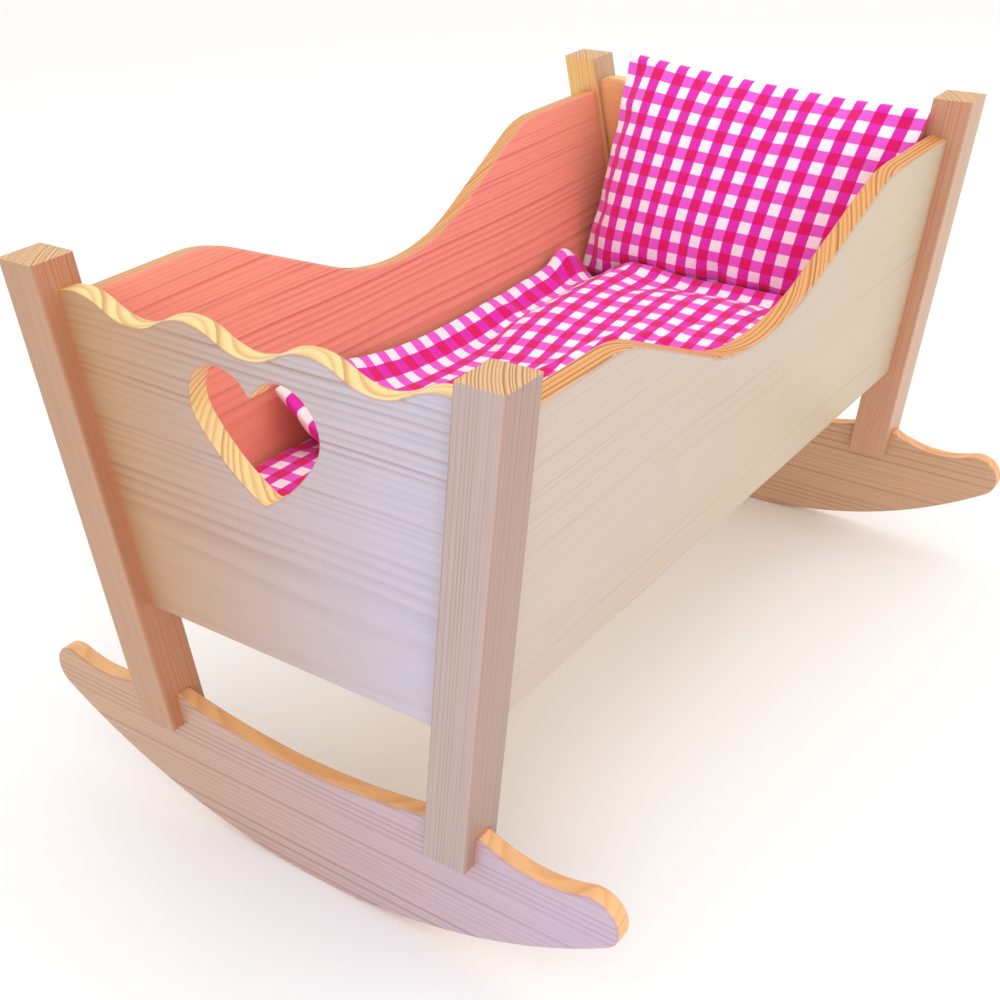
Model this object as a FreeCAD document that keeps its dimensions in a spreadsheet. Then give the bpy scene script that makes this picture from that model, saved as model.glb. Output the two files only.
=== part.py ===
import FreeCAD, Part
import math
import os
import Sketcher

# Rocking doll's cradle in pine: four splayed square posts, each slotted over one of two
# round-bottomed rockers, two scalloped end boards, two dipped side boards, a loose-fitting
# floor on cleats, and bedding.
# Frame: millimetres, +Z up, +Y from foot to head, +X to the right of someone at the foot.
# The origin is on the floor, midway between the rockers, where they touch it.

doc = FreeCAD.newDocument("Cradle")
sheet = doc.addObject("Spreadsheet::Sheet", "Sizes")

SIZES = [
    # name, value, what it is
    ("frame_length", 604, "overall length over the posts"),
    ("floor_spread", 240, "width over the posts' outer edges, carried down to the floor"),
    ("splay", 0.155, "sideways run of a post for each millimetre of rise"),
    ("post_section", 30, "square section of a post"),
    ("post_height", 384, "height of the flat-cut post tops"),
    ("post_edge", 1.8, "rounding along a post's long edges"),
    ("tongue_foot", 79, "height of the lower ends of the post tongues"),
    ("rocker_thickness", 12, "thickness of a rocker"),
    ("rocker_length", 455, "overall length of a rocker"),
    ("rocker_radius", 406, "radius of a rocker's rolling edge"),
    ("rocker_tip", 17, "radius of a rocker's rounded tip"),
    ("rocker_seat", 100, "height of the flats that the posts stand on"),
    ("seat_inner", 104, "distance of a flat's inner end from the middle"),
    ("seat_outer", 137, "distance of a flat's outer end from the middle"),
    ("rocker_dip", 12, "depth of the hollow between the posts"),
    ("shoulder_radius", 82, "radius of the hollow outside each post"),
    ("board_thickness", 14, "thickness of the end and side boards"),
    ("board_inset", 12, "how far the boards stand back from the posts' outer faces"),
    ("edge_round", 2, "rounding of the boards' and rockers' shaped edges"),
    ("end_bottom", 164, "height of an end board's lower edge"),
    ("hump_height", 368.5, "height of the humps of an end board's wave"),
    ("hump_depth", 12.4, "depth of that wave"),
    ("hump_pitch", 89, "distance from hump to hump"),
    ("heart_tip", 268.5, "height of the heart's point"),
    ("lobe_height", 322.5, "height of the centres of the heart's lobes"),
    ("lobe_offset", 23, "distance of a lobe's centre from the middle"),
    ("lobe_radius", 24.7, "radius of a lobe"),
    ("flank_radius", 125, "radius of the heart's lower sides"),
    ("heart_tip_round", 5, "rounding of the heart's point"),
    ("heart_notch_round", 2, "rounding of the heart's notch"),
    ("heart_edge", 1.2, "rounding of the heart's edges"),
    ("side_bottom", 160, "lower edge of a side board, measured up the lean"),
    ("side_hump", 358, "high ends of a side board, measured up the lean"),
    ("side_trough", 295, "middle of the dip, measured up the lean"),
    ("trough_radius", 170, "radius of the dip"),
    ("shoulder_start", 190, "distance from the middle to the start of the high ends"),
    ("side_shoulder", 85, "radius of the turn from the slope to a high end"),
    ("cleat_bottom", 165, "height of the cleats' undersides"),
    ("cleat_height", 12, "height of a cleat"),
    ("cleat_width", 12, "width of a cleat"),
    ("floor_thickness", 6, "thickness of the plywood floor"),
    ("floor_gap", 0.8, "clearance round the floor"),
    ("dowel_radius", 4, "radius of a dowel"),
    ("dowel_length", 30, "length of a dowel, half of it in each piece"),
    ("screw_head", 3, "radius of a screw's head"),
    ("screw_shank", 1.5, "radius of a screw's shank"),
    ("screw_head_depth", 1.8, "depth of a screw's countersunk head"),
    ("screw_length", 20, "length of a screw"),
    ("mattress_width", 240, "width of the mattress"),
    ("mattress_length", 540, "length of the mattress"),
    ("mattress_thickness", 27.5, "thickness of the mattress"),
    ("duvet_width", 250, "width of the duvet"),
    ("duvet_foot", -150, "where the duvet's foot edge lies"),
    ("duvet_head", 184, "where the duvet's head edge lies"),
    ("duvet_thickness", 28, "thickness of the duvet"),
    ("pillow_width", 252, "width of the pillow"),
    ("pillow_height", 176, "height of the pillow"),
    ("pillow_thickness", 34, "thickness of the pillow"),
    ("pillow_skew", 8, "how far its top edge is pulled to the right and its lower edge to the left"),
    ("pillow_side", 11.5, "how far the pillow's middle sits to the right"),
    ("pillow_depth", 235, "distance of the pillow's middle from the cradle's middle"),
    ("pillow_middle", 304.5, "height of the pillow's middle"),
    ("pillow_lean", 17, "degrees that the pillow leans back on the head board"),
    ("pillow_tilt", 4, "degrees that the pillow has slipped round to the right"),
    ("soft_gap", 0.5, "clearance between stacked soft pieces"),
]
for row, (name, value, note) in enumerate(SIZES, 1):
    sheet.set(f"A{row}", note)
    sheet.set(f"B{row}", str(value))
    sheet.setAlias(f"B{row}", name)
doc.recompute()

# Lengths that several sub-parts share, as expressions of the sheet's cells.
POST_MIDDLE = "(Sizes.frame_length / 2 - Sizes.post_section / 2)"
POST_INNER = "(Sizes.frame_length / 2 - Sizes.post_section)"
COSINE = "(1 / sqrt(1 + Sizes.splay ^ 2))"
BOARD_INNER = "(Sizes.frame_length / 2 - Sizes.board_inset - Sizes.board_thickness)"
BOARD_MIDDLE = "(Sizes.frame_length / 2 - Sizes.board_inset - Sizes.board_thickness / 2)"
FLOOR_UNDER = "(Sizes.cleat_bottom + Sizes.cleat_height)"
MATTRESS_UNDER = f"({FLOOR_UNDER} + Sizes.floor_thickness + Sizes.soft_gap)"
DUVET_UNDER = f"({MATTRESS_UNDER} + Sizes.mattress_thickness + Sizes.soft_gap)"

SIDES = (("right", 1), ("left", -1))
ENDS = (("foot", -1), ("head", 1))


def size(expression):
    """The value of an expression of the sheet's cells."""
    return float(sheet.evalExpression(expression))


def post_outer(height):
    """How far a post's outer edge is from the middle at a height."""
    return f"(Sizes.floor_spread / 2 + Sizes.splay * ({height}))"


def post_inside(height):
    """How far a post's inner edge is from the middle at a height."""
    return f"({post_outer(height)} - Sizes.post_section / {COSINE})"


def board_inside(height):
    """How far a side board's inner face is from the middle at a height."""
    return f"({post_outer(height)} - (Sizes.board_inset + Sizes.board_thickness) / {COSINE})"


def new_body(label):
    body = doc.addObject("PartDesign::Body", "Body_" + label)
    body.Label = label
    return body


def new_sketch(body, name, role, offset=None):
    """A sketch on one of the body's origin planes, moved out along the plane's normal."""
    sketch = body.newObject("Sketcher::SketchObject", f"{name}_{body.Label}")
    plane = [item for item in body.Origin.OriginFeatures if item.Role == role][0]
    sketch.AttachmentSupport = (plane, [""])
    sketch.MapMode = "FlatFace"
    if offset:
        sketch.setExpression("AttachmentOffset.Base.z", offset)
    return sketch


def bind(sketch, kind, *geometry, to):
    """Adds a dimension to a sketch and ties it to an expression."""
    index = sketch.addConstraint(Sketcher.Constraint(kind, *geometry, size(to)))
    sketch.setExpression(f"Constraints[{index}]", to)


def pin(sketch, edge, point, across, up):
    """Ties a point of a sketch to a place measured from the origin."""
    bind(sketch, "DistanceX", -1, 1, edge, point, to=across)
    bind(sketch, "DistanceY", -1, 1, edge, point, to=up)


def add_line(sketch, start, end):
    return sketch.addGeometry(Part.LineSegment(FreeCAD.Vector(*start, 0), FreeCAD.Vector(*end, 0)))


def add_arc(sketch, centre, radius, start, end):
    """An arc from start to end, anticlockwise; both are points near its ends."""
    angles = [math.atan2(point[1] - centre[1], point[0] - centre[0]) for point in (start, end)]
    circle = Part.Circle(FreeCAD.Vector(*centre, 0), FreeCAD.Vector(0, 0, 1), radius)
    return sketch.addGeometry(Part.ArcOfCircle(circle, *angles))


def polygon(sketch, corners):
    """A closed outline of straight edges with every corner tied to the sheet."""
    places = [(size(across), size(up)) for across, up in corners]
    edges = [add_line(sketch, start, end) for start, end in zip(places, places[1:] + places[:1])]
    for edge, following in zip(edges, edges[1:] + edges[:1]):
        sketch.addConstraint(Sketcher.Constraint("Coincident", edge, 2, following, 1))
    for edge, (across, up) in zip(edges, corners):
        pin(sketch, edge, 1, across, up)


def pad(body, sketch, length, name="Pad"):
    """Pads a sketch by the same amount to both sides of its plane."""
    feature = body.newObject("PartDesign::Pad", f"{name}_{body.Label}")
    feature.Profile = sketch
    feature.Midplane = True
    feature.setExpression("Length", length)
    sketch.Visibility = False
    doc.recompute()
    return feature


def pocket(body, sketch, length, name="Pocket"):
    """Cuts a sketch out to both sides of its plane, and checks that it cut something."""
    before = body.Shape.Volume
    feature = body.newObject("PartDesign::Pocket", f"{name}_{body.Label}")
    feature.Profile = sketch
    feature.Midplane = True
    feature.setExpression("Length", length)
    sketch.Visibility = False
    doc.recompute()
    assert body.Shape.Volume < before, f"{feature.Name} cuts nothing"
    return feature


def round_edges(body, base, radius, chosen, name="Fillet"):
    """Rounds the edges of a feature that a test picks out by their middle points."""
    names = []
    for number, edge in enumerate(base.Shape.Edges, 1):
        middle = edge.valueAt((edge.FirstParameter + edge.LastParameter) / 2)
        if chosen(edge, middle):
            names.append(f"Edge{number}")
    feature = body.newObject("PartDesign::Fillet", f"{name}_{body.Label}")
    feature.Base = (base, names)
    feature.setExpression("Radius", radius)
    doc.recompute()
    return feature


def drill(body, radius, length, place, name):
    """Bores a round hole along local +Z of a placement, and checks that it cut something."""
    before = body.Shape.Volume
    hole = body.newObject("PartDesign::SubtractiveCylinder", f"{name}_{body.Label}")
    hole.setExpression("Radius", radius)
    hole.setExpression("Height", length)
    hole.Placement = place
    doc.recompute()
    assert body.Shape.Volume < before, f"{hole.Name} cuts nothing"


def lean_angle(side):
    """Degrees by which a side board and the posts beside it lean outwards."""
    return side * math.degrees(math.atan(size("Sizes.splay")))


def lean_place(side):
    """The leaning frame of one side: its Z runs up the posts' outer edge from the floor."""
    foot = FreeCAD.Vector(side * size("Sizes.floor_spread / 2"), 0, 0)
    return FreeCAD.Placement(foot, FreeCAD.Rotation(FreeCAD.Vector(0, 1, 0), lean_angle(side)))


# Where the dowels go. An end board's dowels run square into the posts' inner faces, and a
# side board's run along the cradle, between them, so that no two meet in a post.
END_DOWEL_HEIGHTS = (200, 262, 330)
SIDE_DOWEL_HEIGHTS = (182, 232, 296)


def end_dowel_places(end):
    """One placement for each dowel of an end board, its Z along the dowel towards the post."""
    places = []
    for _, side in SIDES:
        turn = FreeCAD.Rotation(FreeCAD.Vector(0, 1, 0), lean_angle(side) + side * 90)
        axis = turn.multVec(FreeCAD.Vector(0, 0, 1))
        for height in END_DOWEL_HEIGHTS:
            joint = FreeCAD.Vector(side * size(post_inside(height)), end * size(BOARD_MIDDLE), height)
            places.append(FreeCAD.Placement(joint - axis * size("Sizes.dowel_length / 2"), turn))
    return places


def side_dowel_places(side):
    """One placement for each dowel of a side board, its Z along the dowel towards the post."""
    across = -side * size("Sizes.board_inset + Sizes.board_thickness / 2")
    places = []
    for _, end in ENDS:
        turn = FreeCAD.Rotation(FreeCAD.Vector(1, 0, 0), -90 * end)
        start = end * size(f"{POST_INNER} - Sizes.dowel_length / 2")
        for height in SIDE_DOWEL_HEIGHTS:
            local = FreeCAD.Placement(FreeCAD.Vector(across, start, height), turn)
            places.append(lean_place(side).multiply(local))
    return places


def drill_dowel_holes(body, places):
    for place in places:
        drill(body, "Sizes.dowel_radius", "Sizes.dowel_length", place, "Bore")


def make_dowels(label, places):
    """A group of identical dowels in one node."""
    pins = []
    for place in places:
        dowel = doc.addObject("Part::Cylinder", "Dowel")
        dowel.setExpression("Radius", "Sizes.dowel_radius")
        dowel.setExpression("Height", "Sizes.dowel_length")
        dowel.Placement = place
        pins.append(dowel)
    group = doc.addObject("Part::Compound", "Group_" + label)
    group.Label = label
    group.Links = pins
    return group


# Posts: a leaning square prism with level ends, slotted from below over its rocker.
def make_post(end_name, end, side_name, side):
    body = new_body(f"post_{end_name}_{side_name}")
    middle = f"{-end} * {POST_MIDDLE}"
    outline = new_sketch(body, "Outline", "XZ_Plane", middle)
    low, high = "Sizes.tongue_foot", "Sizes.post_height"
    polygon(outline, [(f"{side} * {post_inside(low)}", low), (f"{side} * {post_outer(low)}", low),
                      (f"{side} * {post_outer(high)}", high), (f"{side} * {post_inside(high)}", high)])
    prism = pad(body, outline, "Sizes.post_section")

    def runs_up(edge, _):
        return edge.BoundBox.ZLength > size("Sizes.post_height / 2")

    round_edges(body, prism, "Sizes.post_edge", runs_up)
    slot = new_sketch(body, "Slot", "XZ_Plane", middle)
    wide = "Sizes.floor_spread"
    below = "(Sizes.tongue_foot - Sizes.post_section)"
    polygon(slot, [(f"{side} * Sizes.post_section", below), (f"{side} * {wide}", below),
                   (f"{side} * {wide}", "Sizes.rocker_seat"),
                   (f"{side} * Sizes.post_section", "Sizes.rocker_seat")])
    pocket(body, slot, "Sizes.rocker_thickness")
    half = len(END_DOWEL_HEIGHTS)
    own_end = end_dowel_places(end)[:half] if side > 0 else end_dowel_places(end)[half:]
    half = len(SIDE_DOWEL_HEIGHTS)
    own_side = side_dowel_places(side)[:half] if end < 0 else side_dowel_places(side)[half:]
    drill_dowel_holes(body, own_end + own_side)
    return body


# Rockers: a round rolling edge, rounded tips, and hollows between and outside the posts.
def make_rocker(end_name, end):
    body = new_body(f"rocker_{end_name}")
    outline = new_sketch(body, "Outline", "XZ_Plane", f"{-end} * {POST_MIDDLE}")
    rolling = size("Sizes.rocker_radius")
    tip = size("Sizes.rocker_tip")
    seat = size("Sizes.rocker_seat")
    inner, outer = size("Sizes.seat_inner"), size("Sizes.seat_outer")
    tip_x = size("Sizes.rocker_length / 2") - tip
    tip_z = rolling - math.sqrt((rolling - tip) ** 2 - tip_x ** 2)
    reach = rolling / (rolling - tip)
    low = (tip_x * reach, rolling + (tip_z - rolling) * reach)
    shoulder_turn = math.radians(110)
    high = (tip_x + tip * math.cos(shoulder_turn), tip_z + tip * math.sin(shoulder_turn))
    hollow = size("Sizes.shoulder_radius")
    hollow_centre = (tip_x + (tip + hollow) * math.cos(shoulder_turn),
                     tip_z + (tip + hollow) * math.sin(shoulder_turn))
    waist = size("(Sizes.seat_inner ^ 2 + Sizes.rocker_dip ^ 2) / (2 * Sizes.rocker_dip)")
    waist_z = seat - size("Sizes.rocker_dip") + waist

    bottom = add_arc(outline, (0, rolling), rolling, (-low[0], low[1]), low)
    top = add_arc(outline, (0, waist_z), waist, (-inner, seat), (inner, seat))
    bind(outline, "Radius", bottom, to="Sizes.rocker_radius")
    pin(outline, bottom, 3, "0 * Sizes.rocker_radius", "Sizes.rocker_radius")
    bind(outline, "Radius", top,
         to="(Sizes.seat_inner ^ 2 + Sizes.rocker_dip ^ 2) / (2 * Sizes.rocker_dip)")
    for _, side in SIDES:
        flat = add_line(outline, (side * inner, seat), (side * outer, seat))
        ends = [(side * low[0], low[1]), (side * high[0], high[1])][::side]
        nose = add_arc(outline, (side * tip_x, tip_z), tip, *ends)
        ends = [(side * outer, seat), (side * high[0], high[1])][::side]
        dish = add_arc(outline, (side * hollow_centre[0], hollow_centre[1]), hollow, *ends)
        # On the right the arcs run low to high; on the left they run the other way.
        first, last = (1, 2) if side > 0 else (2, 1)
        outline.addConstraint(Sketcher.Constraint("Tangent", bottom, last, nose, first))
        outline.addConstraint(Sketcher.Constraint("Tangent", nose, last, dish, last))
        outline.addConstraint(Sketcher.Constraint("Coincident", dish, first, flat, 2))
        outline.addConstraint(Sketcher.Constraint("Coincident", top, last, flat, 1))
        bind(outline, "Radius", nose, to="Sizes.rocker_tip")
        bind(outline, "Radius", dish, to="Sizes.shoulder_radius")
        bind(outline, "DistanceX", -1, 1, nose, 3,
             to=f"{side} * (Sizes.rocker_length / 2 - Sizes.rocker_tip)")
        pin(outline, flat, 1, f"{side} * Sizes.seat_inner", "Sizes.rocker_seat")
        pin(outline, flat, 2, f"{side} * Sizes.seat_outer", "Sizes.rocker_seat")
    plank = pad(body, outline, "Sizes.rocker_thickness")

    def on_a_face(edge, _):
        return edge.BoundBox.YLength < 0.01

    round_edges(body, plank, "Sizes.edge_round", on_a_face)
    return body


# End boards: a wave of four humps along the top, level below, slanted to meet the posts.
def wave_board(body, end):
    outline = new_sketch(body, "Outline", "XZ_Plane", f"{-end} * {BOARD_MIDDLE}")
    quarter = size("Sizes.hump_pitch / 4")
    rise = size("Sizes.hump_depth / 2")
    arc_radius = "(((Sizes.hump_pitch / 4) ^ 2 + (Sizes.hump_depth / 2) ^ 2) / Sizes.hump_depth)"
    radius = size(arc_radius)
    middle = size("Sizes.hump_height") - rise
    end_reach = f"({post_inside('Sizes.hump_height')} - 1.5 * Sizes.hump_pitch)"
    end_up = f"(Sizes.hump_height - {arc_radius} + sqrt({arc_radius} ^ 2 - {end_reach} ^ 2))"
    end_across = post_inside(end_up)

    arcs = []
    # Seven turns across the board, hump and trough by turns, from the left post to the right.
    for turn in range(7):
        across = (2 * turn - 6) * quarter
        left, right = (across - quarter, middle), (across + quarter, middle)
        if turn == 0:
            left = (-size(end_across), size(end_up))
        if turn == 6:
            right = (size(end_across), size(end_up))
        if turn % 2 == 0:
            arcs.append(add_arc(outline, (across, middle + rise - radius), radius, right, left))
        else:
            arcs.append(add_arc(outline, (across, middle - rise + radius), radius, left, right))
        bind(outline, "Radius", arcs[-1], to=arc_radius)
    for turn in range(6):
        # A hump's arc runs right to left and a trough's left to right, so they meet end to end.
        point = 1 if turn % 2 == 0 else 2
        outline.addConstraint(Sketcher.Constraint("Coincident", arcs[turn], point, arcs[turn + 1], point))
        pin(outline, arcs[turn], point, f"{2 * turn - 5} * Sizes.hump_pitch / 4",
            "Sizes.hump_height - Sizes.hump_depth / 2")
    low = "Sizes.end_bottom"
    corners = [(-size(end_across), size(end_up)), (-size(post_inside(low)), size(low)),
               (size(post_inside(low)), size(low)), (size(end_across), size(end_up))]
    left, bottom, right = [add_line(outline, start, end) for start, end in zip(corners, corners[1:])]
    for first, second in (((arcs[0], 2), (left, 1)), ((left, 2), (bottom, 1)),
                          ((bottom, 2), (right, 1)), ((right, 2), (arcs[6], 1))):
        outline.addConstraint(Sketcher.Constraint("Coincident", *first, *second))
    pin(outline, left, 1, f"-{end_across}", end_up)
    pin(outline, right, 2, end_across, end_up)
    pin(outline, bottom, 1, f"-{post_inside(low)}", low)
    pin(outline, bottom, 2, post_inside(low), low)
    return pad(body, outline, "Sizes.board_thickness")


def cut_heart(body, end):
    """A heart through the board: two round lobes and two nearly straight lower sides."""
    outline = new_sketch(body, "Heart", "XZ_Plane", f"{-end} * {BOARD_MIDDLE}")
    lobe, flank = size("Sizes.lobe_radius"), size("Sizes.flank_radius")
    centre = (size("Sizes.lobe_offset"), size("Sizes.lobe_height"))
    tip = size("Sizes.heart_tip")
    notch_up = centre[1] + math.sqrt(lobe ** 2 - centre[0] ** 2)
    # The flank's centre is one flank radius from the tip and, because the two arcs touch
    # inside, the difference of their radii from the lobe's centre.
    rise = centre[1] - tip
    gap = math.hypot(centre[0], rise)
    along = (flank ** 2 - (flank - lobe) ** 2 + gap ** 2) / (2 * gap)
    aside = math.sqrt(flank ** 2 - along ** 2)
    far = ((centre[0] * along - rise * aside) / gap, tip + (rise * along + centre[0] * aside) / gap)
    reach = lobe / (flank - lobe)
    join = (centre[0] + (centre[0] - far[0]) * reach, centre[1] + (centre[1] - far[1]) * reach)
    halves = []
    for _, side in SIDES:
        ends = [(side * join[0], join[1]), (0, notch_up)][::side]
        round_top = add_arc(outline, (side * centre[0], centre[1]), lobe, *ends)
        ends = [(0, tip), (side * join[0], join[1])][::side]
        lower = add_arc(outline, (side * far[0], far[1]), flank, *ends)
        first, last = (1, 2) if side > 0 else (2, 1)
        outline.addConstraint(Sketcher.Constraint("Tangent", lower, last, round_top, first))
        bind(outline, "Radius", round_top, to="Sizes.lobe_radius")
        bind(outline, "Radius", lower, to="Sizes.flank_radius")
        pin(outline, round_top, 3, f"{side} * Sizes.lobe_offset", "Sizes.lobe_height")
        halves.append((round_top, last, lower, first))
    (right_top, notch_a, right_low, tip_a), (left_top, notch_b, left_low, tip_b) = halves
    outline.addConstraint(Sketcher.Constraint("Coincident", right_top, notch_a, left_top, notch_b))
    outline.addConstraint(Sketcher.Constraint("Coincident", right_low, tip_a, left_low, tip_b))
    pin(outline, right_low, tip_a, "0 * Sizes.heart_tip", "Sizes.heart_tip")
    return pocket(body, outline, "2 * Sizes.board_thickness", "HeartCut")


def make_end_board(end_name, end, with_heart):
    body = new_body(f"{end_name}_board")
    shaped = wave_board(body, end)
    half_thickness = size("Sizes.board_thickness / 2")

    def on_a_face(edge, middle):
        level = abs(abs(middle.y - end * size(BOARD_MIDDLE)) - half_thickness) < 0.01
        return level and edge.BoundBox.YLength < 0.01

    def along_the_top(edge, middle):
        wave_foot = size("Sizes.hump_height - 1.2 * Sizes.hump_depth")
        return on_a_face(edge, middle) and middle.z > wave_foot

    shaped = round_edges(body, shaped, "Sizes.edge_round", along_the_top)
    if with_heart:
        shaped = cut_heart(body, end)

        def through(edge, middle):
            return edge.BoundBox.YLength > half_thickness and abs(middle.x) < 0.01

        def heart_tip(edge, middle):
            return through(edge, middle) and middle.z < size("Sizes.lobe_height")

        def heart_notch(edge, middle):
            return through(edge, middle) and size("Sizes.lobe_height") < middle.z < size(
                "Sizes.lobe_height + Sizes.lobe_radius")

        shaped = round_edges(body, shaped, "Sizes.heart_tip_round", heart_tip, "TipFillet")
        shaped = round_edges(body, shaped, "Sizes.heart_notch_round", heart_notch, "NotchFillet")

        def round_the_heart(edge, middle):
            inside = abs(middle.x) < size("Sizes.lobe_offset + Sizes.lobe_radius") + 1
            below_the_wave = middle.z < size("Sizes.lobe_height + Sizes.lobe_radius") + 1
            above_the_edge = middle.z > size("Sizes.end_bottom") + 1
            return on_a_face(edge, middle) and inside and below_the_wave and above_the_edge

        shaped = round_edges(body, shaped, "Sizes.heart_edge", round_the_heart, "HeartFillet")
    drill_dowel_holes(body, end_dowel_places(end))
    return body


# Side boards: high at both ends, dipping in the middle, leaning outwards with the posts.
def make_side_board(side_name, side):
    body = new_body(f"side_board_{side_name}")
    middle = f"{-side} * (Sizes.board_inset + Sizes.board_thickness / 2)"
    outline = new_sketch(body, "Outline", "YZ_Plane", middle)
    reach = size(POST_INNER)
    low, high = size("Sizes.side_bottom"), size("Sizes.side_hump")
    start = size("Sizes.shoulder_start")
    dip, turn = size("Sizes.trough_radius"), size("Sizes.side_shoulder")
    dip_centre = size("Sizes.side_trough") + dip
    # The slope touches both arcs from opposite sides, which gives its angle.
    run, fall = start, dip_centre - (high - turn)
    slope = math.atan2(run, fall) - math.acos((dip + turn) / math.hypot(run, fall))

    bottom = add_line(outline, (-reach, low), (reach, low))
    dip_end = (dip * math.sin(slope), dip_centre - dip * math.cos(slope))
    turn_end = (start - turn * math.sin(slope), high - turn + turn * math.cos(slope))
    trough = add_arc(outline, (0, dip_centre), dip, (-dip_end[0], dip_end[1]), dip_end)
    bind(outline, "Radius", trough, to="Sizes.trough_radius")
    pin(outline, trough, 3, "0 * Sizes.trough_radius", "Sizes.side_trough + Sizes.trough_radius")
    for _, way in SIDES:
        upright = add_line(outline, (way * reach, low), (way * reach, high))
        flat = add_line(outline, (way * reach, high), (way * start, high))
        ends = [(way * start, high), (way * turn_end[0], turn_end[1])][::way]
        shoulder = add_arc(outline, (way * start, high - turn), turn, *ends)
        ramp = add_line(outline, (way * turn_end[0], turn_end[1]), (way * dip_end[0], dip_end[1]))
        first, last = (1, 2) if way > 0 else (2, 1)
        outline.addConstraint(Sketcher.Constraint("Coincident", bottom, last, upright, 1))
        outline.addConstraint(Sketcher.Constraint("Coincident", upright, 2, flat, 1))
        outline.addConstraint(Sketcher.Constraint("Tangent", flat, 2, shoulder, first))
        outline.addConstraint(Sketcher.Constraint("Tangent", shoulder, last, ramp, 1))
        outline.addConstraint(Sketcher.Constraint("Tangent", ramp, 2, trough, last))
        bind(outline, "Radius", shoulder, to="Sizes.side_shoulder")
        pin(outline, upright, 1, f"{way} * {POST_INNER}", "Sizes.side_bottom")
        pin(outline, flat, 1, f"{way} * {POST_INNER}", "Sizes.side_hump")
        bind(outline, "DistanceX", -1, 1, flat, 2, to=f"{way} * Sizes.shoulder_start")
    plank = pad(body, outline, "Sizes.board_thickness")

    def along_the_top(edge, middle):
        return edge.BoundBox.XLength < 0.01 and middle.z > size("Sizes.side_trough") - 1 and (
            abs(middle.y) < size(POST_INNER) - 1)

    round_edges(body, plank, "Sizes.edge_round", along_the_top)
    body.setExpression("Placement.Base.x", f"{side} * Sizes.floor_spread / 2")
    body.Placement.Rotation = FreeCAD.Rotation(FreeCAD.Vector(0, 1, 0), lean_angle(side))
    doc.recompute()
    own_frame = lean_place(side).inverse()
    drill_dowel_holes(body, [own_frame.multiply(place) for place in side_dowel_places(side)])
    return body


# Floor: a plywood sheet on cleats, its corners cut back round the posts.
def make_floor():
    body = new_body("bottom_board")
    outline = new_sketch(body, "Outline", "XY_Plane", f"{FLOOR_UNDER} + Sizes.floor_thickness / 2")
    wide = f"({board_inside(FLOOR_UNDER)} - Sizes.floor_gap)"
    long = f"({BOARD_INNER} - Sizes.floor_gap)"
    inside = f"({post_inside(FLOOR_UNDER)} - Sizes.floor_gap)"
    short = f"({POST_INNER} - Sizes.floor_gap)"
    quarter = [(wide, short), (inside, short), (inside, long)]
    corners = quarter
    corners = corners + [(f"-{across}", up) for across, up in reversed(quarter)]
    corners = corners + [(across, f"-{up}") for across, up in reversed(corners)]
    polygon(outline, corners)
    pad(body, outline, "Sizes.floor_thickness")
    return body


SCREW_STATIONS = (-200, 0, 200)
END_SCREW_STATIONS = (-80, 80)
CLEAT_SCREW_HEIGHT = "(Sizes.cleat_bottom + Sizes.cleat_height / 2)"


def side_screw_places(side):
    """Screws through a side cleat, their Z square to the board and pointing into it."""
    turn = FreeCAD.Rotation(FreeCAD.Vector(0, 1, 0), lean_angle(side) + side * 90)
    height = size(CLEAT_SCREW_HEIGHT)
    across = side * (size(board_inside(CLEAT_SCREW_HEIGHT)) - size("Sizes.cleat_width"))
    return [FreeCAD.Placement(FreeCAD.Vector(across, along, height), turn) for along in SCREW_STATIONS]


def end_screw_places(end):
    """Screws through an end cleat, their Z square to the board and pointing into it."""
    turn = FreeCAD.Rotation(FreeCAD.Vector(1, 0, 0), -90 * end)
    height = size(CLEAT_SCREW_HEIGHT)
    along = end * (size(BOARD_INNER) - size("Sizes.cleat_width"))
    return [FreeCAD.Placement(FreeCAD.Vector(across, along, height), turn) for across in END_SCREW_STATIONS]


def drill_screw_holes(body, places):
    """Bores the pilot holes that the screws' shanks fill."""
    for place in places:
        drill(body, "Sizes.screw_shank", "Sizes.screw_length", place, "Pilot")


def countersink(body, places):
    """Widens the mouths of the pilot holes for the screws' heads."""
    for place in places:
        before = body.Shape.Volume
        sink = body.newObject("PartDesign::SubtractiveCone", f"Sink_{body.Label}")
        sink.setExpression("Radius1", "Sizes.screw_head")
        sink.setExpression("Radius2", "Sizes.screw_shank")
        sink.setExpression("Height", "Sizes.screw_head_depth")
        sink.Placement = place
        doc.recompute()
        assert body.Shape.Volume < before, f"{sink.Name} cuts nothing"


def make_side_cleat(side_name, side):
    """A bevelled batten under the floor, its back sloped to lie on the leaning side board."""
    body = new_body(f"cleat_{side_name}")
    outline = new_sketch(body, "Outline", "XZ_Plane")
    low, high = "Sizes.cleat_bottom", FLOOR_UNDER
    polygon(outline, [(f"{side} * {board_inside(low)}", low), (f"{side} * {board_inside(high)}", high),
                      (f"{side} * ({board_inside(high)} - Sizes.cleat_width)", high),
                      (f"{side} * ({board_inside(low)} - Sizes.cleat_width)", low)])
    pad(body, outline, f"2 * ({POST_INNER} - Sizes.cleat_width)")
    drill_screw_holes(body, side_screw_places(side))
    countersink(body, side_screw_places(side))
    return body


def make_end_cleat(end_name, end):
    """A batten under the floor along an end board, between the posts."""
    body = new_body(f"cleat_{end_name}")
    outline = new_sketch(body, "Outline", "YZ_Plane")
    face = f"{end} * {BOARD_INNER}"
    back = f"{end} * ({BOARD_INNER} - Sizes.cleat_width)"
    polygon(outline, [(face, "Sizes.cleat_bottom"), (face, FLOOR_UNDER), (back, FLOOR_UNDER),
                      (back, "Sizes.cleat_bottom")])
    pad(body, outline, f"2 * ({post_inside('Sizes.cleat_bottom')} - Sizes.cleat_width)")
    drill_screw_holes(body, end_screw_places(end))
    countersink(body, end_screw_places(end))
    return body


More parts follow.
